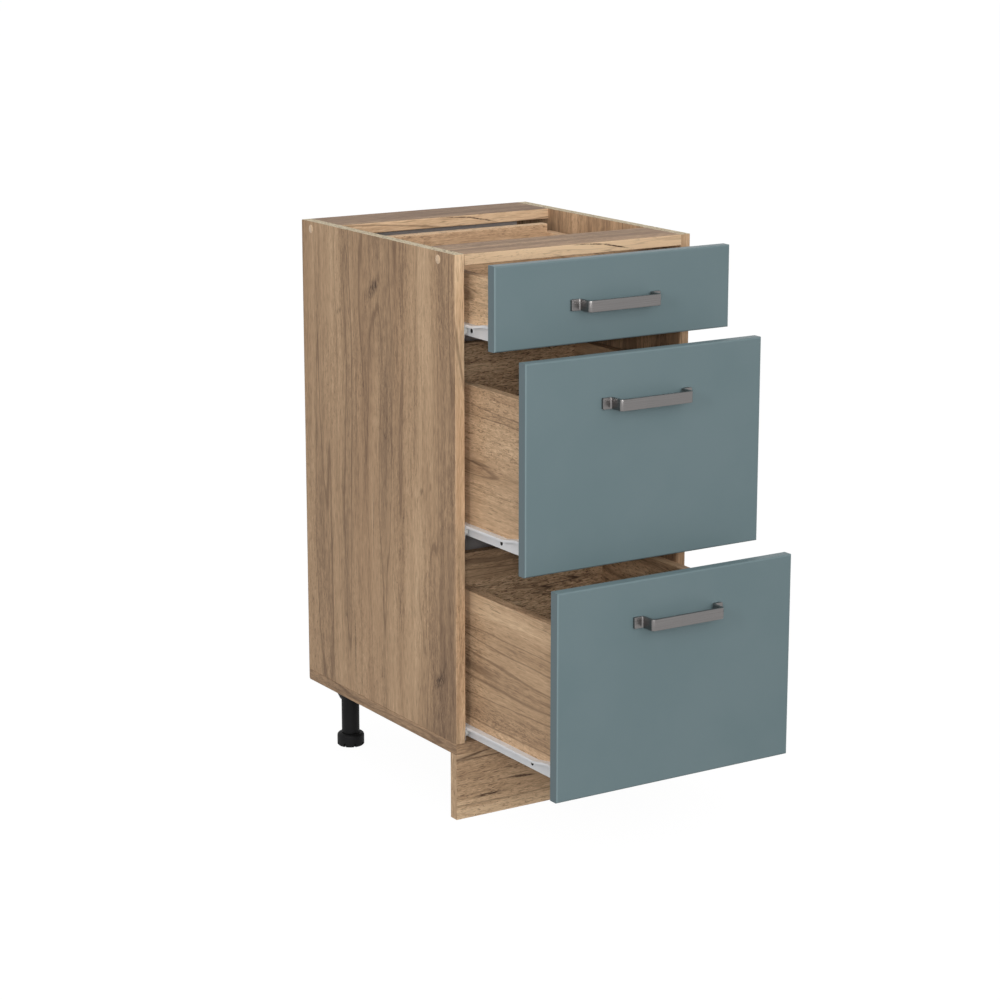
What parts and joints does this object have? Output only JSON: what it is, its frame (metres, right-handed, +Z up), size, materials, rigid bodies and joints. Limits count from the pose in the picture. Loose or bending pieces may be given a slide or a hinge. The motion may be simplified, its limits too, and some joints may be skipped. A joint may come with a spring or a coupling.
{
  "type": "kitchen base cabinet with drawers",
  "caption": "Narrow kitchen base cabinet in oak decor with blue-grey drawers standing open on roller runners, bow handles, a plinth and screw legs.",
  "frame": {"origin": "middle of the plinth's lower front edge, on the floor, in the front plane of the carcass", "axes": "+X to the right seen from the front, +Y from the front to the back, +Z up; the drawers open towards -Y"},
  "size_m": [0.402, 0.727, 0.82],
  "materials": {
    "oak_board": "oak decor film on chipboard, fine matt grain",
    "front_film": "matt blue-grey film on MDF",
    "hardboard": "thin painted hardboard",
    "handle_metal": "satin brushed",
    "runner_white": "white epoxy",
    "roller_nylon": "smooth",
    "steel_fixing": "zinc plated",
    "leg_plastic": "matt black moulded",
    "cap_plastic": "smooth"
  },
  "bodies": {
    "carcass": {"side_left": "oak_board", "side_right": "oak_board", "bottom_board": "oak_board", "top_rail_front": "oak_board", "top_rail_back": "oak_board", "plinth": "oak_board", "back_panel": "hardboard", "carcass_screws": "steel_fixing", "cover_caps": "cap_plastic", "plinth_brackets": "steel_fixing", "cabinet_runner_screws": "steel_fixing", "leg_plate_left": "leg_plastic", "leg_plate_right": "leg_plastic", "leg_tube_left": "leg_plastic", "leg_tube_right": "leg_plastic", "top_cabinet_runner_left": "runner_white", "top_cabinet_runner_right": "runner_white", "middle_cabinet_runner_left": "runner_white", "middle_cabinet_runner_right": "runner_white", "bottom_cabinet_runner_left": "runner_white", "bottom_cabinet_runner_right": "runner_white"},
    "top_drawer": {"top_drawer_front": "front_film", "top_drawer_side_left": "oak_board", "top_drawer_side_right": "oak_board", "top_drawer_back": "oak_board", "top_drawer_bottom": "hardboard", "top_drawer_runner_left": "runner_white", "top_drawer_runner_right": "runner_white", "top_drawer_fittings": "steel_fixing", "top_handle": "handle_metal", "top_handle_screws": "steel_fixing"},
    "top_front_rollers": {"top_front_rollers": "roller_nylon"},
    "top_rear_rollers": {"top_rear_rollers": "roller_nylon"},
    "middle_drawer": {"middle_drawer_front": "front_film", "middle_drawer_side_left": "oak_board", "middle_drawer_side_right": "oak_board", "middle_drawer_back": "oak_board", "middle_drawer_bottom": "hardboard", "middle_drawer_runner_left": "runner_white", "middle_drawer_runner_right": "runner_white", "middle_drawer_fittings": "steel_fixing", "middle_handle": "handle_metal", "middle_handle_screws": "steel_fixing"},
    "middle_front_rollers": {"middle_front_rollers": "roller_nylon"},
    "middle_rear_rollers": {"middle_rear_rollers": "roller_nylon"},
    "bottom_drawer": {"bottom_drawer_front": "front_film", "bottom_drawer_side_left": "oak_board", "bottom_drawer_side_right": "oak_board", "bottom_drawer_back": "oak_board", "bottom_drawer_bottom": "hardboard", "bottom_drawer_runner_left": "runner_white", "bottom_drawer_runner_right": "runner_white", "bottom_drawer_fittings": "steel_fixing", "bottom_handle": "handle_metal", "bottom_handle_screws": "steel_fixing"},
    "bottom_front_rollers": {"bottom_front_rollers": "roller_nylon"},
    "bottom_rear_rollers": {"bottom_rear_rollers": "roller_nylon"},
    "foot_left": {"foot_left": "leg_plastic"},
    "foot_right": {"foot_right": "leg_plastic"}
  },
  "joints": [
    {"name": "top_drawer_slide", "type": "slide", "parent": "carcass", "child": "top_drawer", "axis": [0, -1, 0], "range_m": [-0.0825, 0.2075]},
    {"name": "top_front_rollers_turn", "type": "hinge", "parent": "carcass", "child": "top_front_rollers", "pos_m": [0, 0.017, 0.7118], "axis": [1, 0, 0], "continuous": true},
    {"name": "top_rear_rollers_turn", "type": "hinge", "parent": "top_drawer", "child": "top_rear_rollers", "pos_m": [0, 0.3055, 0.7128], "axis": [1, 0, 0], "continuous": true},
    {"name": "middle_drawer_slide", "type": "slide", "parent": "carcass", "child": "middle_drawer", "axis": [0, -1, 0], "range_m": [-0.16, 0.13]},
    {"name": "middle_front_rollers_turn", "type": "hinge", "parent": "carcass", "child": "middle_front_rollers", "pos_m": [0, 0.017, 0.4248], "axis": [1, 0, 0], "continuous": true},
    {"name": "middle_rear_rollers_turn", "type": "hinge", "parent": "middle_drawer", "child": "middle_rear_rollers", "pos_m": [0, 0.228, 0.4258], "axis": [1, 0, 0], "continuous": true},
    {"name": "bottom_drawer_slide", "type": "slide", "parent": "carcass", "child": "bottom_drawer", "axis": [0, -1, 0], "range_m": [-0.24, 0.05]},
    {"name": "bottom_front_rollers_turn", "type": "hinge", "parent": "carcass", "child": "bottom_front_rollers", "pos_m": [0, 0.017, 0.1268], "axis": [1, 0, 0], "continuous": true},
    {"name": "bottom_rear_rollers_turn", "type": "hinge", "parent": "bottom_drawer", "child": "bottom_rear_rollers", "pos_m": [0, 0.148, 0.1278], "axis": [1, 0, 0], "continuous": true},
    {"name": "foot_left_screw_out", "type": "slide", "parent": "carcass", "child": "foot_left", "axis": [0, 0, -1], "range_m": [0, 0.015]},
    {"name": "foot_right_screw_out", "type": "slide", "parent": "carcass", "child": "foot_right", "axis": [0, 0, -1], "range_m": [0, 0.015]}
  ],
  "couplings": [
    {"joint": "top_front_rollers_turn", "follows": "top_drawer_slide", "rad_per_m": 117.65},
    {"joint": "top_rear_rollers_turn", "follows": "top_drawer_slide", "rad_per_m": 105.26},
    {"joint": "middle_front_rollers_turn", "follows": "middle_drawer_slide", "rad_per_m": 117.65},
    {"joint": "middle_rear_rollers_turn", "follows": "middle_drawer_slide", "rad_per_m": 105.26},
    {"joint": "bottom_front_rollers_turn", "follows": "bottom_drawer_slide", "rad_per_m": 117.65},
    {"joint": "bottom_rear_rollers_turn", "follows": "bottom_drawer_slide", "rad_per_m": 105.26}
  ]
}
